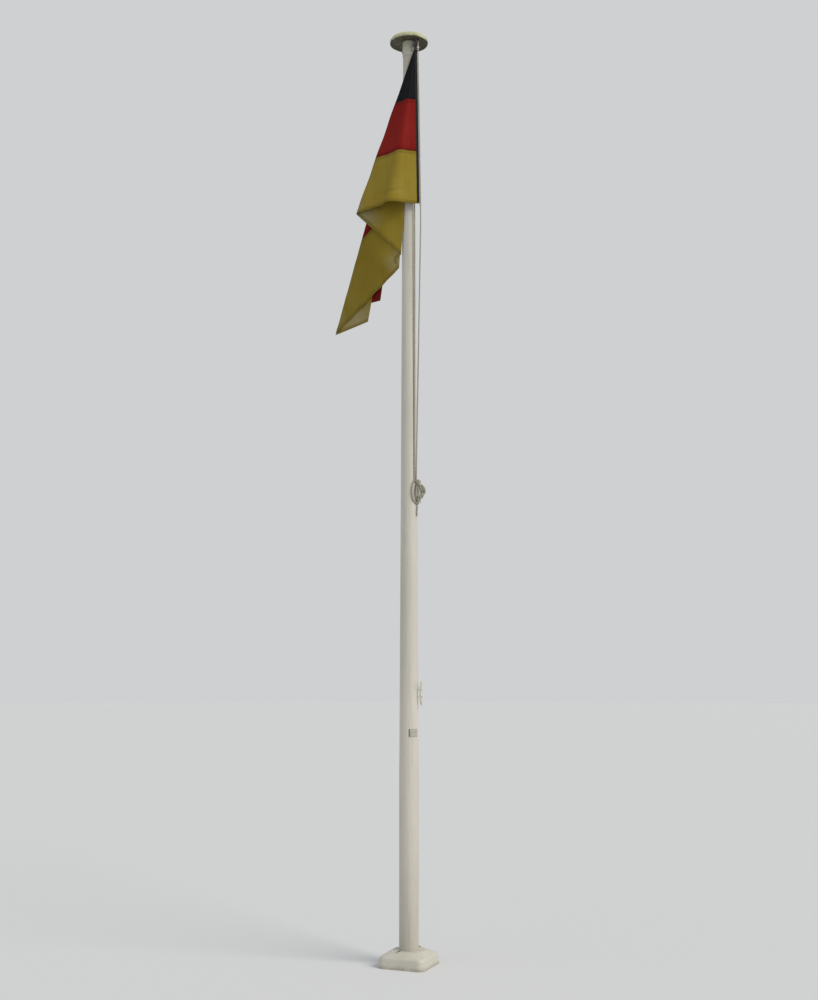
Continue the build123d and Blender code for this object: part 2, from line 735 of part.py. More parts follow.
stopper_step = ring_radius * sin(radians(ring_tilt)) + ring_wire / 2 + seat_gap + stopper_height / 2
save(build_ring(eyelets[0]), "top_ring")
save(build_stopper(eyelets[0] - stopper_step), "top_stopper")
save(build_ring(eyelets[1]), "bottom_ring")
save(build_stopper(eyelets[1] + stopper_step), "bottom_stopper")

print("fold angles", [round(degrees(angle), 1) for angle in fold_angles])
print("rope bend radii", turn_bend, round_side * 0.65, pitch_radius, fall_top_bend, fall_bend, tail_bend)
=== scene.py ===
import json
import math

import bmesh
import bpy
import numpy as np
from bpy.props import FloatProperty, FloatVectorProperty, PointerProperty
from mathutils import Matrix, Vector

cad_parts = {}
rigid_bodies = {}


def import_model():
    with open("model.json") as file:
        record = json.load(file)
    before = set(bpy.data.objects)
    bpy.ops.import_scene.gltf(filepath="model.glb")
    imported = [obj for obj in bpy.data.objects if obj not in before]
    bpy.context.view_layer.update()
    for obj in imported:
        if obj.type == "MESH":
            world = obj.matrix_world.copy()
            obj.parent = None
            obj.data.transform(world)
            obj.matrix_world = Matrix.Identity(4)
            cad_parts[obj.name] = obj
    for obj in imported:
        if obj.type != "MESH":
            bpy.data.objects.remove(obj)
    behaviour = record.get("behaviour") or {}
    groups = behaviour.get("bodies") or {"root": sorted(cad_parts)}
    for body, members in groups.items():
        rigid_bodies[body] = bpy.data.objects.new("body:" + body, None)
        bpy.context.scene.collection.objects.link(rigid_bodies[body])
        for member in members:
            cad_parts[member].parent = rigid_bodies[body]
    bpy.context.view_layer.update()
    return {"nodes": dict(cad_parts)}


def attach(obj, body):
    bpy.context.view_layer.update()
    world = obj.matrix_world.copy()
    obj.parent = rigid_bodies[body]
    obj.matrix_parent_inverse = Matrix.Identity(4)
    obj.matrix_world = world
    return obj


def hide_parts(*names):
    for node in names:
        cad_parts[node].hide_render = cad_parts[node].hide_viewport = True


bl_info = {
    "name": "Flagpole",
    "version": (1, 0, 0),
    "blender": (4, 5, 0),
    "location": "View3D > Sidebar > Flagpole",
    "description": "Dresses a flagpole with its finishes, ropes and hanging three-stripe flag",
    "category": "Object",
}

for leftover in list(bpy.data.objects):
    bpy.data.objects.remove(leftover)
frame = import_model()
NODES = frame["nodes"]


def level_ways(azimuth):
    """The level direction at an azimuth in degrees from X, and a quarter turn clockwise of it."""
    turn = math.radians(azimuth)
    along = np.array([math.cos(turn), math.sin(turn), 0.0])
    return along, np.array([along[1], -along[0], 0.0])


# Sizes and places that the solids and the dressed pieces share, in metres
CAP_RADIUS = 0.119
CAP_RIM_LEVEL = 5.569
COVER_SCREW = (0.027, 0.086)
COVER_RECESS = 0.011
LABEL_LEVEL = 1.314
LABEL_AZIMUTH = math.radians(-40)
CLEAT_LEVEL = 2.735
ROPE_RADIUS = 0.004
ROPE_STRANDS = 8
ROPE_LAY = 0.026
SHEAVE_REACH = 0.072
SHEAVE_LEVEL = 5.540
GROOVE_RADIUS = 0.018
FALL_FOOT = 2.813
FALL_BEND = 4.395
FALL_TOP = np.array([0.07794, -0.045, 5.520])
FALL_END = np.array([0.05365, -0.01743, FALL_FOOT])
FLAG_TOP = 5.507
HEADING_WIDTH = 0.016
HEADING_GAP = 0.001

# Directions: the pulley's, the drape's, and the hoist's with its two leans from upright in degrees
UP = np.array([0.0, 0.0, 1.0])
PULLEY_OUT, PULLEY_AXLE = level_ways(-30)
ALONG, BEHIND = level_ways(202)
HOIST_LEANS = (0.7, 0.46)
HOIST = np.array([*(math.tan(math.radians(lean)) for lean in HOIST_LEANS), -1.0])
HOIST /= np.linalg.norm(HOIST)
OUTBOARD = -ALONG - HOIST * np.dot(-ALONG, HOIST)
OUTBOARD /= np.linalg.norm(OUTBOARD)
FRONT = np.cross(OUTBOARD, HOIST)

# The cloth's top corner, inside the heading, which hangs beside the halyard
APEX = (
    FALL_TOP + HOIST * (FLAG_TOP - FALL_TOP[2]) / HOIST[2]
    - OUTBOARD * (ROPE_RADIUS + HEADING_GAP + HEADING_WIDTH)
)

# Each fold line of the cloth: its lean along the drape and its lean behind it, in degrees
FOLD_LEANS = [
    (8.0, -2.5), (19.5, 7.0), (3.6, 2.0), (5.5, 3.1), (3.9, 2.3), (15.7, 8.5),
    (9.6, 5.6), (14.3, 8.45), (7.6, 4.55), (14.5, 8.8), (9.4, 5.85),
]

# Camera: its height and distance in metres, and how far it looks up and is turned, in degrees
EYE_LEVEL = 1.69
EYE_DISTANCE = 7.79
EYE_PITCH = 7.3
VIEW_AZIMUTH = 22
SENSOR_WIDTH = 36.0

# Finishes made so far, by the name of the record's material
FINISHES = {}


def tone(red, green, blue):
    """A colour written as screen values from 0 to 255, turned into the linear values of shaders."""
    share = np.array([red, green, blue]) / 255.0
    linear = np.where(share <= 0.04045, share / 12.92, ((share + 0.055) / 1.055) ** 2.4)
    return (*(round(float(part), 4) for part in linear), 1.0)


def shade(colour, factor):
    """A colour made darker or lighter as a whole."""
    return (*(min(1.0, part * factor) for part in colour[:3]), 1.0)


def colour_setting(name, description, default):
    """A colour in the sidebar."""
    return FloatVectorProperty(
        name=name, description=description, default=default, size=4, min=0.0, max=1.0,
        subtype="COLOR",
    )


def length_setting(name, description, default, least):
    """A length in the sidebar."""
    return FloatProperty(
        name=name, description=description, default=default, min=least, unit="LENGTH"
    )


class FlagSettings(bpy.types.PropertyGroup):
    """Sizes and colours of the flag."""

    hoist: length_setting("Hoist", "Length of the edge along the halyard", 1.0, 0.2)
    fly: length_setting("Fly", "Length of the free upper edge", 1.55, 0.2)
    thickness: length_setting("Cloth thickness", "Thickness of the flag cloth", 0.0006, 0.0002)
    ripple: length_setting("Ripple", "Height of the soft ripples between the folds", 0.0032, 0.0)
    black: colour_setting("Top stripe", "Colour of the top stripe", tone(11, 12, 18))
    red: colour_setting("Middle stripe", "Colour of the middle stripe", tone(138, 21, 14))
    gold: colour_setting("Bottom stripe", "Colour of the bottom stripe", tone(160, 138, 44))


class PoleSettings(bpy.types.PropertyGroup):
    """Colours of the pole and its fittings."""

    shaft: colour_setting("Shaft", "Colour of the clean shaft", tone(204, 200, 188))
    # This colour serves the real dirt on the shaft and the painted shade below the cap
    grime: colour_setting("Grime", "Colour of the grime on the shaft", tone(128, 123, 104))
    cover: colour_setting("Foot cover", "Colour of the clean foot cover", tone(198, 195, 182))
    soil: colour_setting("Soil", "Colour of the soil on the foot cover", tone(104, 84, 56))
    cap: colour_setting("Cap", "Colour of the weathered cap", tone(186, 187, 146))
    rope: colour_setting("Rope", "Colour of the halyard", tone(176, 172, 154))


class StageSettings(bpy.types.PropertyGroup):
    """The light and the backdrop."""

    backdrop: colour_setting("Backdrop", "Colour seen behind the object", (0.62, 0.63, 0.64, 1.0))
    sun: FloatProperty(
        name="Key light", description="Strength of the soft key light", default=2.1, min=0.0
    )
    sky: FloatProperty(
        name="Fill light", description="Strength of the even light", default=0.46, min=0.0
    )
    lens: FloatProperty(
        name="Lens", description="Focal length in millimetres", default=47.2, min=10.0
    )


class Value:
    """A number that changes over a surface. Its operators add Math nodes, so shader maths reads
    as arithmetic."""

    def __init__(self, finish, socket):
        self.finish = finish
        self.socket = socket

    def maths(self, operation, *terms):
        return self.finish.node(
            "ShaderNodeMath", {"operation": operation}, dict(enumerate(terms))
        )

    def __add__(self, other):
        return self.maths("ADD", self, other)

    def __radd__(self, other):
        return self.maths("ADD", other, self)

    def __sub__(self, other):
        return self.maths("SUBTRACT", self, other)

    def __rsub__(self, other):
        return self.maths("SUBTRACT", other, self)

    def __mul__(self, other):
        return self.maths("MULTIPLY", self, other)

    def __rmul__(self, other):
        return self.maths("MULTIPLY", other, self)

    def __truediv__(self, other):
        return self.maths("DIVIDE", self, other)

    def __rtruediv__(self, other):
        return self.maths("DIVIDE", other, self)

    def __pow__(self, other):
        return self.maths("POWER", self, other)

    def __abs__(self):
        return self.maths("ABSOLUTE", self)

    def sine(self):
        return self.maths("SINE", self)

    def wrapped(self, span):
        """What is left of the value after whole spans are taken off."""
        return self.maths("FLOORED_MODULO", self, span)

    def most(self, other):
        return self.maths("MAXIMUM", self, other)

    def least(self, other):
        return self.maths("MINIMUM", self, other)

    def rise(self, start, end):
        """0 up to start and 1 from end on, smooth between them. Start may be the larger one."""
        if start > end:
            return 1.0 - self.rise(end, start)
        return self.finish.node(
            "ShaderNodeMapRange", {"interpolation_type": "SMOOTHSTEP"},
            {"Value": self, "From Min": start, "From Max": end, "To Min": 0.0, "To Max": 1.0},
        )

    def near(self, place, reach):
        """1 at a place, falling smoothly to 0 at reach on either side of it."""
        return abs(self - place).rise(reach, 0.0)


class Finish:
    """A material in the making: one principled shader, and one way to add every other node."""

    def __init__(self, name, **constants):
        self.material = bpy.data.materials.new(name)
        self.material.use_nodes = True
        self.tree = self.material.node_tree
        by_type = {node.type: node for node in self.tree.nodes}
        self.shader = by_type["BSDF_PRINCIPLED"]
        self.surface = by_type["OUTPUT_MATERIAL"].inputs["Surface"]
        for socket, value in constants.items():
            label = socket.replace("_", " ").title().replace("Ior", "IOR")
            self.shader.inputs[label].default_value = value

    def feed(self, socket, value):
        if isinstance(value, Value):
            self.tree.links.new(value.socket, socket)
        else:
            socket.default_value = value

    def node(self, kind, settings=(), values=(), output=0):
        """Adds a node: its settings come first, then a value or a link for each socket named."""
        made = self.tree.nodes.new(kind)
        for key, value in dict(settings).items():
            setattr(made, key, value)
        for key, value in dict(values).items():
            self.feed(made.inputs[key], value)
        return Value(self, made.outputs[output])

    def give(self, **values):
        """Feeds what changes over the surface to the shader."""
        for socket, value in values.items():
            self.feed(self.shader.inputs[socket.replace("_", " ").title()], value)
        return self.material

    def place(self, stretch=(1.0, 1.0, 1.0), shift=(0.0, 0.0, 0.0)):
        """Where a point lies on the object, for a pattern that is stretched or shifted."""
        point = self.node("ShaderNodeTexCoord", output="Object")
        return self.node(
            "ShaderNodeMapping", values={"Vector": point, "Location": shift, "Scale": stretch}
        )

    def axes(self, vector=None):
        """The three parts of a vector, or of a place on the surface in metres."""
        split = {"Vector": vector or self.node("ShaderNodeTexCoord", output="Object")}
        first = self.node("ShaderNodeSeparateXYZ", values=split)
        return [Value(self, first.socket.node.outputs[axis]) for axis in range(3)]

    def cloth_place(self):
        """Where a point lies on the flat piece: its two lengths in metres."""
        return self.axes(self.node("ShaderNodeUVMap", {"uv_map": "UVMap"}))[:2]

    def noise(self, scale, detail=3.0, rough=0.55, **placing):
        """Cloudy pattern with so many waves a metre, placed by the stretch and shift given."""
        return self.node(
            "ShaderNodeTexNoise", {"noise_dimensions": "3D"},
            {
                "Vector": self.place(**placing), "Scale": scale, "Detail": detail,
                "Roughness": rough,
            },
        )

    def cells(self, scale, output=0):
        """Cell pattern with so many cells a metre: how far off the nearest middle lies, or a
        colour for each cell."""
        values = {"Vector": self.place(), "Scale": scale}
        return self.node("ShaderNodeTexVoronoi", values=values, output=output)

    def blend(self, first, second, share):
        return self.node(
            "ShaderNodeMix", {"data_type": "RGBA", "blend_type": "MIX", "clamp_factor": True},
            {0: share, 6: first, 7: second}, 2,
        )

    def bump(self, height, depth, under=None):
        """Relief of a given depth in metres, laid over another relief where one is given."""
        values = {"Height": height, "Distance": depth, "Strength": 1.0}
        if under:
            values["Normal"] = under
        return self.node("ShaderNodeBump", values=values)

    def edges(self, reach=0.003):
        """1 on the rims of the solids and 0 on their faces, from how far a rounded normal turns
        away."""
        rounded = self.node("ShaderNodeBevel", {"samples": 4}, {"Radius": reach})
        plain = self.node("ShaderNodeNewGeometry", output="Normal")
        agree = self.node(
            "ShaderNodeVectorMath", {"operation": "DOT_PRODUCT"}, {0: rounded, 1: plain}, "Value"
        )
        return agree.rise(0.995, 0.9)


def zinc_finish():
    """Hot-dip zinc: flat crystals of slightly different greys, dulled where dirt lies."""
    finish = Finish("zinc_steel")
    crystal = finish.cells(170.0, "Color")
    grain = finish.axes(crystal)[0]
    dirt = finish.noise(24.0, 5.0, 0.6).rise(0.45, 0.72)
    colour = finish.blend(tone(142, 146, 148), tone(190, 193, 194), grain)
    colour = finish.blend(colour, tone(104, 98, 84), dirt * 0.6)
    return finish.give(
        base_color=colour, roughness=0.34 + grain * 0.16 + dirt * 0.25,
        normal=finish.bump(finish.noise(900.0, 2.0), 0.0002), metallic=0.9 - dirt * 0.5,
    )


def steel_finish(name, dark, light, rough):
    """Bright stainless steel with fine brushing and a little tarnish."""
    finish = Finish(name, metallic=1.0)
    brush = finish.noise(900.0, 2.0, 0.5, stretch=(1.0, 1.0, 0.06))
    tarnish = finish.noise(110.0, 4.0, 0.6).rise(0.42, 0.7)
    return finish.give(
        base_color=finish.blend(light, dark, tarnish * 0.8),
        roughness=rough + brush * 0.14 + tarnish * 0.2, normal=finish.bump(brush, 0.00006),
    )


def pole_finish(settings):
    """White gel coat: tall weather streaks, faint yellowing, pin-sized specks, dirt towards the
    foot, and painted shade below the cap."""
    cover_top, grime_top = 0.09, 0.9
    # Heights between which painted shade darkens the shaft below the cap
    cap_shade_foot, cap_shade_top = 5.1, 5.5
    finish = Finish("pole_white")
    level = finish.axes()[2]
    streak = finish.noise(46.0, 4.0, 0.6, stretch=(1.0, 1.0, 0.035))
    broad = finish.noise(5.0, 4.0, 0.55, stretch=(1.0, 1.0, 0.22))
    mottle = finish.noise(70.0, 5.0, 0.62)
    speck = finish.cells(240.0).rise(0.14, 0.06) * finish.noise(14.0, 2.0).rise(0.5, 0.68)
    foot = level.rise(grime_top, cover_top) * (0.7 + broad * 0.4)
    # Painted shade below the cap, darkest just under it and streaky
    painted_cap_shade = level.rise(cap_shade_foot, cap_shade_top) * (0.5 + streak * 0.6)
    dirt_and_cap_shade = streak.rise(0.5, 0.76) * 0.2 + foot * 0.3 + painted_cap_shade * 0.45
    colour = finish.blend(settings.shaft, shade(settings.shaft, 0.88), broad.rise(0.36, 0.66))
    colour = finish.blend(colour, tone(190, 176, 158), mottle.rise(0.5, 0.8) * 0.35)
    # Weather streaks, dirt towards the foot and painted shade below the cap, in one dark colour
    colour = finish.blend(colour, settings.grime, dirt_and_cap_shade * (0.7 + mottle * 0.4))
    colour = finish.blend(colour, tone(96, 92, 80), speck * 0.5)
    relief = finish.bump(finish.noise(1100.0, 2.0), 0.00012, finish.bump(streak, 0.0006))
    return finish.give(
        base_color=colour, roughness=0.36 + streak * 0.18 + dirt_and_cap_shade * 0.2, normal=relief
    )


def cover_finish(settings):
    """Moulded white plastic, a little soiled at its foot, green in damp patches, and with painted
    shade down in the two screw recesses."""
    finish = Finish("cover_white")
    across, deep, level = finish.axes()
    one, other = (
        (across - COVER_SCREW[0] * side) ** 2.0 + (deep - COVER_SCREW[1] * side) ** 2.0
        for side in (1, -1)
    )
    # Painted shade down in the two screw recesses, within their radius
    recess_shade = (one.least(other) ** 0.5).rise(COVER_RECESS + 0.0008, COVER_RECESS - 0.0004)
    cloud = finish.noise(26.0, 5.0, 0.62)
    fine = finish.noise(240.0, 4.0, 0.65)
    splash = (level + cloud * -0.04).rise(0.008, -0.020) * (0.6 + fine * 0.5)
    green = finish.noise(13.0, 5.0, 0.6, shift=(3.0, 1.0, 0.0)).rise(0.48, 0.7)
    colour = finish.blend(settings.cover, shade(settings.cover, 0.93), cloud.rise(0.4, 0.7))
    colour = finish.blend(colour, tone(164, 164, 142), green * 0.2)
    colour = finish.blend(colour, settings.soil, splash * 0.45)
    # Painted shade in the screw recesses
    colour = finish.blend(colour, tone(26, 24, 20), recess_shade)
    relief = finish.bump(finish.noise(900.0, 2.0), 0.00015, finish.bump(splash * fine, 0.0008))
    return finish.give(
        base_color=colour, roughness=0.4 + cloud * 0.14 + splash * 0.35, normal=relief
    )


def plastic_finish(name, clean, worn, rough=0.38):
    """Weathered moulded plastic: chalky where the sun fell, rubbed along its edges."""
    finish = Finish(name)
    cloud = finish.noise(60.0, 4.0, 0.6)
    fine = finish.noise(420.0, 3.0, 0.6)
    rubbed = finish.edges() * (0.4 + fine * 0.8)
    colour = finish.blend(clean, worn, cloud.rise(0.42, 0.7) * 0.6)
    colour = finish.blend(colour, shade(worn, 0.7), fine.rise(0.55, 0.75) * 0.35)
    colour = finish.blend(colour, shade(clean, 1.06), rubbed * 0.5)
    return finish.give(
        base_color=colour, roughness=rough + cloud * 0.15 - rubbed * 0.08,
        normal=finish.bump(fine, 0.0002),
    )


def cap_top_finish(settings):
    """Weathered dome: yellow-green film that thickens in patches, darker towards the rim."""
    film_height = 0.015
    finish = Finish("cap_top")
    across, deep, level = finish.axes()
    patch = finish.noise(16.0, 5.0, 0.6)
    fine = finish.noise(170.0, 4.0, 0.62)
    rim = ((across * across + deep * deep) ** 0.5).rise(0.080, CAP_RADIUS)
    film = level.rise(CAP_RIM_LEVEL + film_height, CAP_RIM_LEVEL) * patch.rise(0.3, 0.6)
    bare = shade(settings.cap, 1.04)
    colour = finish.blend(bare, tone(148, 151, 104), patch.rise(0.4, 0.68) * 0.7)
    colour = finish.blend(
        colour, tone(104, 108, 74), fine.rise(0.52, 0.76) * (0.25 + rim * 0.5)
    )
    colour = finish.blend(colour, tone(74, 78, 58), film * 0.8)
    return finish.give(
        base_color=colour, roughness=0.5 + patch * 0.2, normal=finish.bump(fine, 0.0004)
    )


def cap_under_finish():
    """Underside of the cap: olive and brown damp algae, darkened further as painted shade."""
    finish = Finish("cap_under")
    patch = finish.noise(22.0, 6.0, 0.65)
    fine = finish.noise(140.0, 4.0, 0.65)
    # The algae's olive and brown, darkened further: painted shade under the cap
    colour = finish.blend(tone(88, 82, 58), tone(54, 50, 32), patch.rise(0.34, 0.62))
    colour = finish.blend(colour, tone(28, 25, 18), fine.rise(0.46, 0.7) * 0.75)
    return finish.give(
        base_color=colour, roughness=0.62 + fine * 0.2, normal=finish.bump(fine, 0.0005)
    )


def label_finish():
    """Blank worn plate: pale face, dark band down its left side, a thin rule and a line along its
    upper and lower edge, with scuffs. Side is the length across the plate and rise the height
    above its middle."""
    band_edge, line_edge, soft = -0.0215, 0.0200, 0.0005
    finish = Finish("label_metal")
    across, deep, level = finish.axes()
    side = across * -math.sin(LABEL_AZIMUTH) + deep * math.cos(LABEL_AZIMUTH)
    rise = level - LABEL_LEVEL
    scuff = finish.noise(130.0, 5.0, 0.7)
    fine = finish.noise(600.0, 3.0, 0.6)
    band = side.rise(band_edge + 2 * soft, band_edge - 2 * soft)
    rule = rise.near(0.0025, 0.0016) * side.rise(-0.021, -0.019)
    lines = abs(rise).rise(line_edge - soft, line_edge + soft)
    mark = band.most(rule * 0.6).most(lines * 0.45) * scuff.rise(0.74, 0.42)
    colour = finish.blend(tone(186, 184, 172), tone(150, 146, 128), scuff.rise(0.4, 0.7))
    colour = finish.blend(colour, tone(58, 58, 58), mark * 0.9)
    return finish.give(
        base_color=colour, roughness=0.32 + scuff * 0.25, metallic=0.25 + mark * -0.25,
        normal=finish.bump(fine, 0.00008),
    )


def rope_finish(settings):
    """Braided polyester: two families of crossing strands, worked out round and along the rope,
    with painted shade in the grooves between them, and old dirt."""
    finish = Finish("rope")
    turn, run = finish.cloth_place()
    strand = math.pi * ROPE_STRANDS
    first = (turn * strand + run * (strand / ROPE_LAY)).sine()
    second = (turn * strand - run * (strand / ROPE_LAY)).sine()
    weave = abs(first).most(abs(second))
    dirt = finish.noise(18.0, 4.0, 0.6, stretch=(1.0, 1.0, 0.2))
    fuzz = finish.noise(1400.0, 2.0, 0.6)
    # Painted shade in the grooves between the strands
    colour = finish.blend(shade(settings.rope, 0.42), settings.rope, weave.rise(0.45, 0.95))
    colour = finish.blend(colour, tone(112, 108, 84), dirt.rise(0.42, 0.75) * 0.5)
    relief = finish.bump(fuzz, 0.0002, finish.bump(weave, 0.0007))
    return finish.give(base_color=colour, roughness=0.78 + fuzz * 0.1, normal=relief)


def cloth_finish(name, colour, pale, top, foot, fly, translucence, fold_shade, backlit_places):
    """Woven polyester: fine crossing threads, sun-faded patches, painted shade along soft creases,
    and double hems with a line of stitches. The flat lengths u (from the hoist) and v (from the
    top edge) place every hem and seam. The painted shade within the folds is given by the u where
    it starts and its strength. The places of painted backlight, where one thin layer hangs before
    the sky, each have their u, their v and their reach either way."""
    thread = 0.0011
    hem_width, hem_soft = 0.0205, 0.001
    stitch_inset, seam_inset, stitch_half, stitch_pitch = 0.019, 0.004, 0.0011, 0.0044
    finish = Finish(name, sheen_weight=0.03, specular_ior_level=0.12)
    across, down = finish.cloth_place()
    weave = (across * (math.tau / thread)).sine() * (down * (math.tau / thread)).sine()
    fade = finish.noise(3.2, 4.0, 0.55)
    crease = finish.noise(26.0, 4.0, 0.6, stretch=(1.0, 1.0, 0.25))
    edge = (down - top).least(foot - down).least(fly - across)
    hem = edge.rise(hem_width + hem_soft, hem_width - hem_soft)
    stitch_line = edge.near(stitch_inset, stitch_half).most(edge.near(seam_inset, stitch_half))
    stitch = stitch_line * ((across + down) / stitch_pitch).wrapped(1.0).rise(0.72, 0.62)
    base = finish.blend(colour, pale, fade.rise(0.38, 0.72) * 0.55)
    # Painted shade along the soft creases
    base = finish.blend(base, shade(colour, 0.72), crease.rise(0.5, 0.76) * 0.3)
    # Painted shade on the part that lies within the folds
    inner, strength = fold_shade
    base = finish.blend(base, shade(colour, 0.4), across.rise(inner, inner + 0.1) * strength)
    for run, drop, reach, height in backlit_places:
        # Painted backlight where one thin layer hangs before the sky
        backlight_spot = across.near(run, reach) ** 0.6 * down.near(drop, height) ** 0.6
        base = finish.blend(base, tone(168, 158, 120), backlight_spot * 0.8)
    base = finish.blend(base, shade(colour, 0.6), hem * 0.55)
    base = finish.blend(base, shade(colour, 0.35), stitch_line * 0.5)
    base = finish.blend(base, shade(pale, 1.1), stitch * 0.55)
    sewing = finish.bump(hem * 0.5 + stitch * 0.5 - stitch_line * 0.35, 0.0012)
    relief = finish.bump(crease, 0.0022, finish.bump(weave, 0.00012, sewing))
    finish.give(base_color=base, roughness=0.7 + weave * 0.06, normal=relief)
    plain = Value(finish, finish.shader.outputs[0])
    through = finish.node("ShaderNodeBsdfTranslucent", values={"Color": base, "Normal": relief})
    mixed = finish.node("ShaderNodeMixShader", values={0: translucence, 1: plain, 2: through})
    finish.feed(finish.surface, mixed)
    return finish.material


def webbing_finish(name, colour):
    """Ribbed webbing with a stitched line along either edge; u runs across the tape and v down
    it."""
    inset, half, pitch = 0.0025, 0.0008, 0.004
    finish = Finish(name)
    across, down = finish.cloth_place()
    rib = (down * (math.tau / 0.0016)).sine() * (across * (math.tau / 0.003)).sine()
    dust = finish.noise(40.0, 4.0, 0.6)
    line = across.near(inset, half).most(across.near(HEADING_WIDTH - inset, half))
    stitch = line * (down / pitch).wrapped(1.0).rise(0.75, 0.65)
    base = finish.blend(colour, shade(colour, 2.6), dust.rise(0.45, 0.7) * 0.35)
    base = finish.blend(base, tone(88, 88, 92), stitch * 0.6)
    relief = finish.bump(rib, 0.0004, finish.bump(stitch - line * 0.6, 0.0005))
    return finish.give(base_color=base, roughness=0.8 + dust * 0.1, normal=relief)


def grid_faces(rows, columns):
    """Corners of each square of a grid of points, as one array."""
    index = np.arange(rows * columns).reshape(rows, columns)
    corners = (index[:-1, :-1], index[1:, :-1], index[1:, 1:], index[:-1, 1:])
    return np.stack(corners, -1).reshape(-1, 4)


def make_piece(name, points, uv, material, body="mast", merge=1e-6):
    """A piece from a grid of points and a grid of flat places. Points that fall together are
    merged, which closes seams and poles, and the faces are turned outwards."""
    faces = grid_faces(*points.shape[:2])
    mesh = bpy.data.meshes.new(name)
    mesh.from_pydata(points.reshape(-1, 3), [], faces)
    layer = mesh.uv_layers.new(name="UVMap")
    flat = uv.reshape(-1, 2)[faces.ravel()]
    layer.data.foreach_set("uv", flat.astype(np.float32).ravel())
    work = bmesh.new()
    work.from_mesh(mesh)
    bmesh.ops.remove_doubles(work, verts=work.verts, dist=merge)
    bmesh.ops.recalc_face_normals(work, faces=work.faces)
    work.to_mesh(mesh)
    work.free()
    mesh.shade_smooth()
    mesh.materials.append(material)
    piece = bpy.data.objects.new(name, mesh)
    bpy.context.scene.collection.objects.link(piece)
    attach(piece, body)
    return piece


def arc_lengths(line):
    """How far along a line of points each of them lies."""
    step = np.linalg.norm(np.diff(line, axis=0), axis=1)
    return np.concatenate([[0.0], np.cumsum(step)])


def along_line(place, places, line):
    """The points of a line at other places along it, each part between its neighbours'."""
    return np.column_stack([np.interp(place, places, line[:, axis]) for axis in range(3)])


def unit(vectors):
    """Vectors of length 1 along the rows given."""
    return vectors / np.linalg.norm(vectors, axis=1, keepdims=True)


def spline_line(points, per_point=12):
    """The smooth line that a rope follows: a spline with the route's points as its control
    points."""
    curve = bpy.data.curves.new("route", "CURVE")
    curve.dimensions = "3D"
    curve.resolution_u = per_point
    spline = curve.splines.new("NURBS")
    spline.points.add(len(points) - 1)
    spline.points.foreach_set("co", np.column_stack([points, np.ones(len(points))]).ravel())
    spline.order_u = 3
    spline.use_endpoint_u = True
    route = bpy.data.objects.new("route", curve)
    bpy.context.scene.collection.objects.link(route)
    bpy.context.view_layer.update()
    mesh = bpy.data.meshes.new_from_object(route)
    line = np.empty(len(mesh.vertices) * 3)
    mesh.vertices.foreach_get("co", line)
    bpy.data.meshes.remove(mesh)
    bpy.data.objects.remove(route)
    return line.reshape(-1, 3)


def rope_surface(line, sides, step, reference, relief=0.0):
    """A rope carried along a line. At length s and turn t round it, the radius is the rope's, less
    a relief that follows two families of crossing strands: 1 - max(|sin 4(t + s')|,
    |sin 4(t - s')|), with s' one turn a lay. Each end is rounded over by rings that shrink to a
    point."""
    end_rings, bulge = 4, 0.35
    run = arc_lengths(line)
    length = np.linspace(0.0, run[-1], max(8, int(run[-1] / step)))
    centre = along_line(length, run, line)
    tangent = unit(np.gradient(centre, length, axis=0))
    side = unit(np.cross(tangent, reference))
    up = np.cross(side, tangent)
    turn = np.linspace(0.0, 1.0, sides + 1)
    strand, twist = math.pi * ROPE_STRANDS, length[:, None] / ROPE_LAY
    first = np.abs(np.sin(strand * (turn + twist)))
    second = np.abs(np.sin(strand * (turn - twist)))
    radius = (ROPE_RADIUS - relief * (1.0 - np.maximum(first, second)))[..., None]
    angle = (math.tau * turn)[None, :, None]
    ring = np.cos(angle) * side[:, None] + np.sin(angle) * up[:, None]
    points = centre[:, None] + radius * ring
    quarter = np.linspace(0.0, math.pi / 2, end_rings + 1)[:-1, None, None]
    shrink, dome = np.sin(quarter), np.cos(quarter) * ROPE_RADIUS * bulge
    first_end = centre[0] + (points[0] - centre[0]) * shrink - tangent[0] * dome
    last_end = centre[-1] + (points[-1] - centre[-1]) * shrink + tangent[-1] * dome
    points = np.concatenate([first_end, points, last_end[::-1]])
    along = np.pad(length, end_rings, mode="edge")
    return points, np.stack(np.broadcast_arrays(turn, along[:, None]), -1)


def cloth_course(samples=6001, reach_share=0.4, bend_steps=17):
    """The fold directions joined into one smooth course on the unit sphere. Each fold is rounded
    by a parabola whose middle point is pushed out, so that it still reaches the fold line, and the
    course is measured by the angle travelled, which makes the cloth cut flat: a cone from the
    flag's top corner keeps every length."""
    leans = np.radians(np.array(FOLD_LEANS))
    folds = np.tan(leans[:, :1]) * ALONG + np.tan(leans[:, 1:]) * BEHIND - UP
    folds = unit(np.vstack([HOIST, folds]))
    step = np.diff(folds, axis=0)
    width = np.linalg.norm(step, axis=1, keepdims=True)
    reach = reach_share * np.minimum(width[:-1], width[1:])
    before = folds[1:-1] - step[:-1] / width[:-1] * reach
    after = folds[1:-1] + step[1:] / width[1:] * reach
    middle = 2.0 * folds[1:-1] - (before + after) / 2.0
    share = np.linspace(0.0, 1.0, bend_steps)[None, :, None]
    bend = (
        (1 - share) ** 2 * before[:, None] + 2 * share * (1 - share) * middle[:, None]
        + share**2 * after[:, None]
    )
    course = unit(np.vstack([folds[:1], bend.reshape(-1, 3), folds[-1:]]))
    chord = arc_lengths(course)
    course = unit(along_line(np.linspace(0.0, chord[-1], samples), chord, course))
    travelled = arc_lengths(course)
    return travelled * (math.pi / 2 / travelled[-1]), course


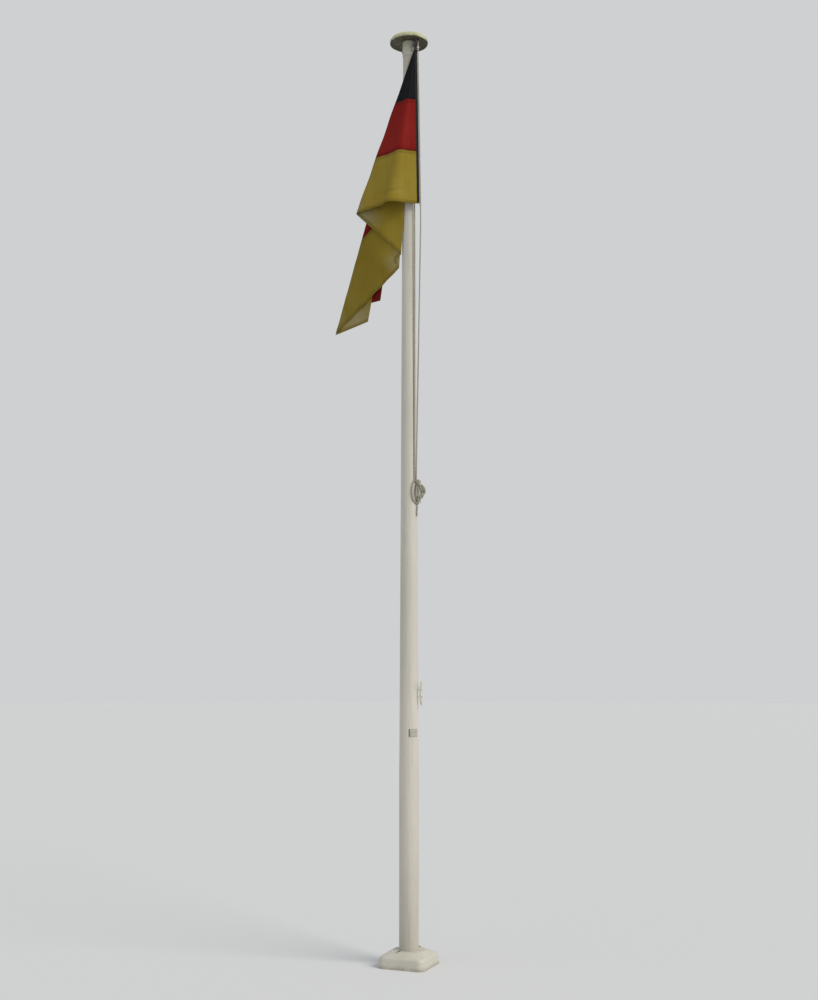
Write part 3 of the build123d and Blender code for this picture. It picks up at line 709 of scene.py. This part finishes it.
def soft_ripples(settings, u, v, angle, distance):
    """How far the cloth stands off its cone at the flat point (u, v): three crossing waves that
    are lower within the folds, a crease like a smile low on the front, and a curl along the bottom
    hem. Each fades towards the hoist and at the sharp fold."""
    waves = ((0.19, 0.62, 0.2, 0.45), (0.083, -0.9, 0.55, 0.22), (0.5, 0.31, 0.1, 0.33))
    ripple = sum(
        weight * np.sin(math.tau * (u / run + v / drop + start))
        for run, drop, start, weight in waves
    )
    front = np.clip((0.72 - angle) / 0.1, 0.25, 1.0)
    ripple = ripple * settings.ripple * front * np.clip(distance / 0.5, 0.0, 1.0)
    crease_u, crease_v, crease_height = 0.17, 0.91, 0.006
    smile = crease_v + 0.018 * np.cos(math.pi * np.clip((u - crease_u) / 0.2, -1.0, 1.0))
    across, along = (v - smile) / 0.009, (u - crease_u) / 0.1
    ripple += crease_height * np.exp(-(across**2)) * np.exp(-(along**2))
    curl_height, curl_wave, curl_reach = 0.0028, 0.11, 0.05
    curl = np.clip((v - settings.hoist + curl_reach) / curl_reach, 0.0, 1.0) ** 2
    held = np.clip(u / 0.1, 0.0, 1.0)
    ripple += curl_height * np.sin(math.tau * u / curl_wave) * curl * held
    sharp_fold, calm_reach = 0.74, 0.06
    calm = 1.0 - np.exp(-(((angle - sharp_fold) / calm_reach) ** 2))
    return ripple * np.clip(u / 0.04, 0.0, 1.0) * calm


def stripe_surface(settings, top, foot, columns=680, rows=38):
    """One stripe of the hanging flag. A flat point u from the hoist and v below the top edge lies
    at the angle atan(u / v) and the distance hypot(u, v) from the top corner, and hangs at that
    distance along the course's direction for that angle. Ripples move it along the surface's
    normal."""
    tiny = 1e-9
    angles, course = cloth_course()
    last = math.atan2(settings.fly, top)
    corner = math.atan2(settings.fly, foot)
    angle = np.unique(np.append(np.linspace(0.0, last, columns), corner))
    across, down = np.sin(angle), np.maximum(np.cos(angle), tiny)
    near = top / down
    far = np.minimum(foot / down, settings.fly / np.maximum(across, tiny))
    distance = near + (far - near) * np.linspace(0.0, 1.0, rows)[:, None]
    u, v = distance * across, distance * down
    direction = along_line(angle, angles, course)
    normal = np.cross(direction, np.gradient(direction, angle, axis=0))
    normal /= np.maximum(np.linalg.norm(normal, axis=1, keepdims=True), tiny)
    ripple = soft_ripples(settings, u, v, angle, distance)
    points = APEX + distance[..., None] * direction + ripple[..., None] * normal
    return points, np.stack([u, v], -1)


def assign(slot_name, material):
    """Gives the material to every solid whose record slot has this name."""
    for node in NODES.values():
        for place in node.material_slots:
            if place.material and place.material.name.split(".")[0] == slot_name:
                place.material = material


class FLAGPOLE_OT_stage(bpy.types.Operator):
    """Add the floor, the soft light and the camera"""

    bl_idname = "flagpole.stage"
    bl_label = "Stage"

    def execute(self, context):
        settings = context.scene.flagpole_stage
        self.floor()
        self.world(context, settings)
        right, toward = (Vector(way) for way in level_ways(VIEW_AZIMUTH))
        key_way = right * 0.74 + toward * 0.52 + Vector((0, 0, 0.72))
        fill_way = right * -0.9 + toward * 0.5 + Vector((0, 0, 0.4))
        # Each light: the way to it, its strength, its spread in degrees and its colour
        lights = (
            ("key", key_way, settings.sun, 34.0, (1.0, 0.97, 0.92)),
            ("fill", fill_way, settings.sun * 0.12, 60.0, (0.92, 0.96, 1.0)),
        )
        for name, source, strength, spread, colour in lights:
            lamp = bpy.data.lights.new(name, "SUN")
            lamp.energy, lamp.angle, lamp.color = strength, math.radians(spread), colour
            holder = bpy.data.objects.new(name, lamp)
            holder.rotation_euler = source.to_track_quat("Z", "Y").to_euler()
            context.scene.collection.objects.link(holder)
        camera = bpy.data.objects.new("camera", bpy.data.cameras.new("camera"))
        camera.data.sensor_width, camera.data.lens = SENSOR_WIDTH, settings.lens
        camera.data.clip_end = 200.0
        camera.location = toward * EYE_DISTANCE + Vector((0, 0, EYE_LEVEL))
        pitch = math.radians(EYE_PITCH)
        look = -toward * math.cos(pitch) + Vector((0, 0, math.sin(pitch)))
        camera.rotation_euler = look.to_track_quat("-Z", "Y").to_euler()
        context.scene.collection.objects.link(camera)
        context.scene.camera = camera
        context.scene.view_settings.view_transform = "Standard"
        return {"FINISHED"}

    def floor(self):
        """A disc of rings that grow as the square of their number, just below the foot."""
        reach, drop, rings, spokes = 60.0, 0.0005, 24, 97
        ground = Finish("floor", roughness=0.9)
        speckle = ground.noise(30.0, 3.0)
        colour = ground.blend((0.69, 0.70, 0.71, 1), (0.71, 0.72, 0.73, 1), speckle)
        ground.give(base_color=colour)
        out = np.linspace(0.0, 1.0, rings)[:, None] ** 2 * reach
        turn = np.linspace(0.0, math.tau, spokes)[None]
        level = np.full((rings, spokes), -drop)
        points = np.stack([out * np.cos(turn), out * np.sin(turn), level], -1)
        floor = make_piece("floor", points, points[..., :2], ground.material)

    def world(self, context, settings):
        """Even light all round, and the backdrop's colour where the camera, a reflection or a
        clear surface looks at it."""
        world = bpy.data.worlds.new("studio")
        context.scene.world = world
        world.use_nodes = True
        tree = world.node_tree
        link = tree.links.new
        even, shown = tree.nodes["Background"], tree.nodes.new("ShaderNodeBackground")
        even.inputs["Color"].default_value = (0.97, 0.98, 1.0, 1.0)
        even.inputs["Strength"].default_value = settings.sky
        shown.inputs["Color"].default_value = settings.backdrop
        rays, mixed = tree.nodes.new("ShaderNodeLightPath"), tree.nodes.new("ShaderNodeMixShader")
        seen, through = tree.nodes.new("ShaderNodeMath"), tree.nodes.new("ShaderNodeMath")
        seen.operation = through.operation = "MAXIMUM"
        link(rays.outputs["Is Camera Ray"], seen.inputs[0])
        link(rays.outputs["Is Glossy Ray"], seen.inputs[1])
        link(seen.outputs[0], through.inputs[0])
        link(rays.outputs["Is Transmission Ray"], through.inputs[1])
        for place, source in enumerate((through, even, shown)):
            link(source.outputs[0], mixed.inputs[place])
        link(mixed.outputs[0], tree.nodes["World Output"].inputs["Surface"])


class FLAGPOLE_OT_finishes(bpy.types.Operator):
    """Give the solids of the pole and its fittings their finishes"""

    bl_idname = "flagpole.finishes"
    bl_label = "Pole finishes"

    def execute(self, context):
        settings = context.scene.flagpole_pole
        steels = (
            # Stainless tones darkened: partly weathering, partly painted shade for the bracket in
            # the cap's shadow
            ("stainless", tone(78, 74, 66), tone(146, 146, 144), 0.36),
            ("ring_steel", tone(96, 92, 84), tone(170, 170, 168), 0.3),
        )
        plastics = (
            ("cleat_white", tone(218, 214, 200), tone(168, 162, 140)),
            # Sleeve tones darker than the shaft's: painted shade under the cap
            ("sleeve_white", tone(190, 188, 172), tone(158, 156, 136)),
            ("bead_white", tone(214, 212, 204), tone(160, 156, 140)),
            ("sheave_plastic", tone(60, 60, 62), tone(84, 82, 78), 0.42),
        )
        FINISHES.update({
            "zinc_steel": zinc_finish(),
            "pole_white": pole_finish(settings),
            "cover_white": cover_finish(settings),
            "cap_top": cap_top_finish(settings),
            "cap_under": cap_under_finish(),
            "label_metal": label_finish(),
            "rope": rope_finish(settings),
            "heading_black": webbing_finish("heading_black", context.scene.flagpole_flag.black),
            **{name: steel_finish(name, *tones) for name, *tones in steels},
            **{name: plastic_finish(name, *tones) for name, *tones in plastics},
        })
        for name, material in FINISHES.items():
            assign(name, material)
        return {"FINISHED"}


class FLAGPOLE_OT_flag(bpy.types.Operator):
    """Hang the three sewn stripes of the flag and its heading"""

    bl_idname = "flagpole.flag"
    bl_label = "Flag"

    def execute(self, context):
        settings = context.scene.flagpole_flag
        third = settings.hoist / 3
        # Places on the gold where painted backlight shows through one thin layer: u, v and reaches
        thin_backlit_places = ((0.49, 0.98, 0.14, 0.1), (0.93, 0.97, 0.12, 0.1), (1.53, 0.84, 0.14, 0.18))
        # Each stripe: its faded tone, the light it lets through, its painted shade within the folds
        # and its places of painted backlight
        stripes = {
            "black": (tone(20, 21, 28), 0.06, (1.25, 0.5), ()),
            "red": (tone(150, 38, 32), 0.22, (1.25, 0.7), ()),
            "gold": (tone(172, 155, 74), 0.26, (0.96, 0.34), thin_backlit_places),
        }
        heading = self.heading(settings)
        for row, (name, (pale, *light)) in enumerate(stripes.items()):
            top, foot = row * third, (row + 1) * third
            colour = tuple(getattr(settings, name))
            cloth = cloth_finish(f"cloth_{name}", colour, pale, top, foot, settings.fly, *light)
            points, uv = stripe_surface(settings, top, foot)
            piece = make_piece(f"stripe_{name}", points, uv, cloth, merge=2e-5)
            wall = piece.modifiers.new("wall", "SOLIDIFY")
            wall.thickness, wall.offset = settings.thickness, 0.0
            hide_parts(f"flag_{name}")
            [heading] if row == 0 else []
        return {"FINISHED"}

    def heading(self, settings):
        """The tape down the hoist: a flat oval whose edges hold two rolled welts, carried down the
        hoist line. Its half width is w and half thickness t, and the point at turn a is
        w |cos a|^0.6 across and t |sin a|^0.6 through, with the sines' signs. Its ends close."""
        half_width, half_thick, power = 0.0079, 0.0018, 0.6
        welt_place, welt_reach, welt_rise = 0.0062, 0.0012, 0.28
        sway_height, sway_waves = 0.0005, (61.0, 23.0)
        end_gap, end_share = 0.001, 0.86
        turn = np.linspace(0.0, math.tau, 33)[None]
        share = np.pad(np.linspace(0.0, 1.0, 260), 2, mode="edge")[:, None]
        full = np.ones_like(share)
        full[[0, -1]], full[[1, -2]] = 0.0, end_share
        cosine, sine = np.cos(turn), np.sin(turn)
        across = half_width * np.sign(cosine) * np.abs(cosine) ** power
        welt = np.exp(-(((np.abs(across) - welt_place) / welt_reach) ** 2))
        through = half_thick * np.sign(sine) * np.abs(sine) ** power * (1.0 + welt_rise * welt)
        sway = sway_height * np.sin(share * sway_waves[0]) * np.sin(share * sway_waves[1])
        down = end_gap + share * (settings.hoist - 2 * end_gap)
        points = (
            APEX + OUTBOARD * HEADING_WIDTH / 2 + HOIST * down[..., None]
            + OUTBOARD * (across * full)[..., None] + FRONT * (through * full + sway)[..., None]
        )
        flat = np.broadcast_arrays(across * full + HEADING_WIDTH / 2, share * settings.hoist)
        piece = make_piece("heading", points, np.stack(flat, -1), FINISHES["heading_black"])
        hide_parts("flag_heading")
        return piece


class FLAGPOLE_OT_halyard(bpy.types.Operator):
    """Run the halyard up the pole, over the sheave and down past the flag"""

    bl_idname = "flagpole.halyard"
    bl_label = "Halyard"

    def execute(self, context):
        # Round the sheave: how far out from its pin and above it each control point lies
        wide, short, straight = GROOVE_RADIUS, 0.0075, 0.048
        over = (
            (-wide, FALL_FOOT - SHEAVE_LEVEL), (-wide, -straight), (-wide, -short), (-wide, short),
            (-short, wide), (short, wide), (wide, short), (wide, -short),
        )
        # The fall leaves the sheave and its bend straight for a little
        off_sheave, off_bend, bend_share = 0.050, 0.055, 0.035
        fall_levels = (FALL_TOP[2] - off_sheave, FALL_BEND + off_bend, FALL_BEND)
        route = [
            PULLEY_OUT * (SHEAVE_REACH + out) + UP * (SHEAVE_LEVEL + rise) for out, rise in over
        ]
        route += [FALL_TOP]
        route += [FALL_TOP + HOIST * (level - FALL_TOP[2]) / HOIST[2] for level in fall_levels]
        route += [route[-1] + (FALL_END - route[-1]) * bend_share, FALL_END]
        line = spline_line(np.array(route), per_point=48)
        points, uv = rope_surface(line, sides=16, step=0.0042, reference=PULLEY_AXLE)
        piece = make_piece("halyard_rope", points, uv, FINISHES["rope"])
        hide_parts("halyard")
        return {"FINISHED"}


class FLAGPOLE_OT_winding(bpy.types.Operator):
    """Wind the halyard on the upper cleat and let its end hang"""

    bl_idname = "flagpole.winding"
    bl_label = "Rope on the cleat"

    def execute(self, context):
        # The rope's control points in millimetres: out from the pole's axis, across the cleat and
        # above the cleat's middle
        wound = [
            (53.6, -17.4, 78), (53.6, -17.1, 66), (53.8, -16.6, 54), (54.2, -16, 41),
            (54.4, -15.5, 27), (54.4, -15, 10), (54.4, -15, -8), (54.4, -14, -23),
            (54.4, -9, -32), (54.4, 0, -34.5), (54.4, 9, -32), (54.4, 14, -22),
            (54.4, 15, -6), (54.4, 15, 10), (54.4, 14, 23), (55.5, 8, 33),
            (58.5, -2, 37), (62, -11, 38.5), (63, -18.5, 36), (61, -24, 26),
            (57, -25.5, 11), (55.4, -25.5, -5), (55.2, -25, -21), (55.4, -19, -37),
            (55.8, -8, -44.5), (56.6, 4, -45.5), (58.5, 15, -43.5), (64, 21.5, -36),
            (73, 19, -26), (80, 11, -14), (81.4, 0, 0), (80.6, -12, 16),
            (74, -19.5, 28), (66, -22, 38), (61.5, -16, 45.5), (58.5, -3, 48.5),
            (58, 10, 47.5), (61, 19.5, 42.5), (69, 22.5, 34), (80, 15, 22),
            (89.8, 1, 2), (89.2, -10, -14), (80, -19.5, -30), (67, -23.5, -43),
            (59, -17, -53), (56.4, -4, -56.5), (56.6, 8, -55.5), (60, 18.5, -49.5),
            (71, 23, -38), (86, 16, -23), (98.2, 1, -2), (97, -11.5, 16),
            (84, -20.5, 33), (70, -24, 46), (62.6, -17, 56.5), (60, -3, 60),
            (60.5, 10, 58.5), (65, 20.5, 52.5), (77, 23, 40), (95, 14, 21),
            (106.4, 0, 0), (102, -12, -20), (85, -21.5, -38), (68, -24, -53),
            (59.5, -16.5, -62.5), (57.6, -8, -65), (56.5, -4.3, -69), (56.38, -4, -74.5),
        ]
        loose = [
            (46.77, -27, 78), (45.6, -29, 68), (42.8, -33.5, 57), (39.6, -38.5, 44),
            (37.6, -42, 28), (36.9, -43.2, 8), (37.1, -42.8, -14), (38.8, -40, -36),
            (43, -34.5, -54), (49.5, -24.5, -66), (56, -13, -71.5), (59.5, -1, -72),
            (57.5, 11, -71), (51, 23, -66), (43.6, 33.5, -54.5), (39, 40, -38),
            (37.2, 42.7, -17), (36.9, 43.2, 6), (37.6, 41.8, 29), (41, 36.5, 48),
            (47.6, 27, 62), (55.4, 14.5, 69), (61.4, 1, 71), (64.2, -11, 70),
            (62.8, -21, 67.5), (56.5, -29, 65), (47.5, -30.5, 64),
        ]
        for name, places in (("cleat_winding", wound), ("cleat_loose_turn", loose)):
            line = spline_line(np.array(places) / 1000.0 + UP * CLEAT_LEVEL)
            piece = self.braided(name, line)
            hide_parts("cleat_turns")
        self.tail()
        return {"FINISHED"}

    def braided(self, name, line):
        """A rope seen close: its strands stand out as relief."""
        outward = np.array([1.0, 0.0, 0.0])
        points, uv = rope_surface(line, sides=22, step=0.001, reference=outward, relief=0.0006)
        return make_piece(name, points, uv, FINISHES["rope"])

    def whipping(self, line):
        """Twine round the rope's last part: a tube along it whose radius is the rope's, less what
        the twine bites in, plus the twine's thickness and one low bulge for each of its turns. At
        both ends it closes onto the rope's middle."""
        from_end, to_end, threads, stations, sides = 0.016, 0.004, 12, 97, 29
        bite, thick, thread_rise, end_share = 0.0009, 0.0011, 0.00025, 0.02
        run = arc_lengths(line)
        length = np.linspace(run[-1] - from_end, run[-1] - to_end, stations)
        centre = along_line(length, run, line)[:, None]
        share = np.linspace(0.0, 1.0, stations)
        cover = np.clip(np.minimum(share, 1.0 - share) / end_share, 0.0, 1.0)
        bulge = thread_rise * np.abs(np.sin(share * math.pi * threads))
        radius = ROPE_RADIUS - bite + cover * (thick + bulge)
        turn = np.linspace(0.0, math.tau, sides)
        ring = np.stack([np.cos(turn), np.sin(turn), np.zeros(sides)], -1)
        points = centre + radius[:, None, None] * ring
        start, end = centre[:1].repeat(sides, 1), centre[-1:].repeat(sides, 1)
        points = np.concatenate([start, points, end])
        down = np.linspace(0, from_end - to_end, stations + 2)[:, None]
        uv = np.stack(np.broadcast_arrays(turn / math.tau, down), -1)
        twine = plastic_finish("twine", tone(176, 170, 150), tone(120, 112, 92), 0.7)
        return make_piece("rope_end_whipping", points, uv, twine)

    def tail(self):
        """The free end: a short rope whose last part is whipped with twine."""
        route = np.array([
            (0.05638, -0.0040, 2.6605), (0.05638, -0.0060, 2.6353), (0.05438, -0.0100, 2.6101),
            (0.05438, -0.0085, 2.5885),
        ])
        line = spline_line(route, per_point=24)
        tail = self.braided("rope_end", line)
        whipping = self.whipping(line)
        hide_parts("halyard_tail")


class FLAGPOLE_PT_panel(bpy.types.Panel):
    """Settings and steps of the flagpole"""

    bl_idname = "FLAGPOLE_PT_panel"
    bl_label = "Flagpole"
    bl_space_type = "VIEW_3D"
    bl_region_type = "UI"
    bl_category = "Flagpole"

    def draw(self, context):
        scene = context.scene
        for group in (scene.flagpole_pole, scene.flagpole_flag, scene.flagpole_stage):
            box = self.layout.box()
            for key in group.bl_rna.properties.keys():
                if key not in ("rna_type", "name"):
                    box.prop(group, key)
        for operator in STEPS:
            self.layout.operator(operator.bl_idname)


STEPS = (
    FLAGPOLE_OT_stage, FLAGPOLE_OT_finishes, FLAGPOLE_OT_winding, FLAGPOLE_OT_halyard,
    FLAGPOLE_OT_flag,
)
CLASSES = (FlagSettings, PoleSettings, StageSettings, *STEPS, FLAGPOLE_PT_panel)


def register():
    for cls in CLASSES:
        bpy.utils.register_class(cls)
    bpy.types.Scene.flagpole_flag = PointerProperty(type=FlagSettings)
    bpy.types.Scene.flagpole_pole = PointerProperty(type=PoleSettings)
    bpy.types.Scene.flagpole_stage = PointerProperty(type=StageSettings)


def unregister():
    del bpy.types.Scene.flagpole_stage
    del bpy.types.Scene.flagpole_pole
    del bpy.types.Scene.flagpole_flag
    for cls in reversed(CLASSES):
        bpy.utils.unregister_class(cls)


def main():
    register()
    bpy.ops.flagpole.stage()
    bpy.ops.flagpole.finishes()
    bpy.ops.flagpole.winding()
    bpy.ops.flagpole.halyard()
    bpy.ops.flagpole.flag()


if __name__ == "__main__":
    main()
